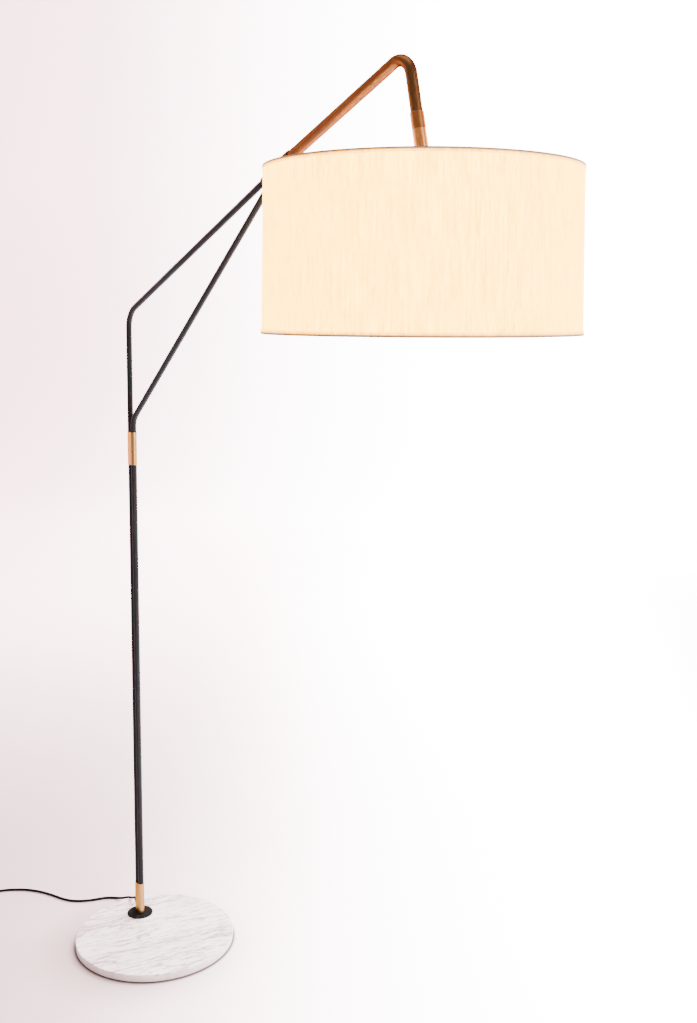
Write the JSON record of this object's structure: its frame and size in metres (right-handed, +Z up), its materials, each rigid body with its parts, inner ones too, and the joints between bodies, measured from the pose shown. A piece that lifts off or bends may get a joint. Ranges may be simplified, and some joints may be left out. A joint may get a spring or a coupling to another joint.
{
  "type": "arc floor lamp",
  "caption": "Arc floor lamp with a marble foot, black twin-tube pole, braced arm, brass upper arm and a large linen drum shade that tilts",
  "frame": {"origin": "On the floor, midway between the two tubes of the pole", "axes": "+Z up, +X along the arm towards the shade, +Y to the left of someone who looks along +X"},
  "size_m": [1.6925, 0.5845, 1.8181],
  "materials": {
    "felt": "black needle felt",
    "steel": "zinc-plated steel",
    "marble": "polished white marble, thin grey veins",
    "black_paint": "satin black powder coat",
    "brass": "satin polished brass",
    "black_rubber": "matt black flexible sheath",
    "black_plastic": "moulded black plastic",
    "holder_plastic": "pale insulating plastic",
    "bulb_glass": "opal glass, lit warm",
    "liner_plastic": "white translucent liner sheet",
    "linen": "cream slubbed linen"
  },
  "bodies": {
    "stand": {"floor_pad": "felt", "ballast_plate": "steel", "marble_base": "marble", "foot_stud": "steel", "foot_washer": "steel", "foot_nut": "steel", "foot_flange": "black_paint", "foot_block": "steel", "foot_ferrule": "brass", "cord_relief": "black_rubber", "rear_pole_tube": "black_paint", "front_pole_tube": "black_paint", "coupling_dowels": "steel", "pole_collar": "brass", "collar_screws": "steel", "main_arm_tube": "black_paint", "brace_tube": "black_paint", "arm_lug": "brass", "upper_arm_tube": "brass", "end_collar": "brass", "end_collar_screw": "steel", "inner_cable": "black_rubber", "shade_stem": "brass", "knuckle_fork": "brass", "knuckle_bolt": "steel", "mains_cord": "black_rubber", "cord_coil": "black_rubber", "cord_tail": "black_rubber", "plug_body": "black_plastic", "plug_blades": "brass"},
    "shade": {"knuckle_tongue": "brass", "holder_nipple": "steel", "holder_cap": "brass", "holder_shell": "brass", "holder_insulator": "holder_plastic", "holder_contact": "brass", "switch_spindle": "steel", "bulb_cap": "steel", "bulb_glass": "bulb_glass", "holder_lead": "black_rubber", "spider_hub": "brass", "spider_spokes": "brass", "spider_nut": "brass", "top_ring": "steel", "bottom_ring": "steel", "shade_liner": "liner_plastic", "shade_fabric": "linen", "top_trim": "linen", "bottom_trim": "linen"},
    "lock_knob": {"lock_knob": "brass"},
    "switch_knob": {"switch_knob": "black_plastic"}
  },
  "joints": [
    {"name": "shade_tilt", "type": "hinge", "parent": "stand", "child": "shade", "pos_m": [0.946, 0, 1.652], "axis": [0, 1, 0], "range_deg": [-25, 15]},
    {"name": "lock_knob_turn", "type": "hinge", "parent": "stand", "child": "lock_knob", "pos_m": [0.946, 0.0138, 1.652], "axis": [0, 1, 0], "range_deg": [0, 180]},
    {"name": "switch_turn", "type": "hinge", "parent": "shade", "child": "switch_knob", "pos_m": [0.946, -0.034, 1.5979], "axis": [0, -1, 0], "continuous": true}
  ]
}
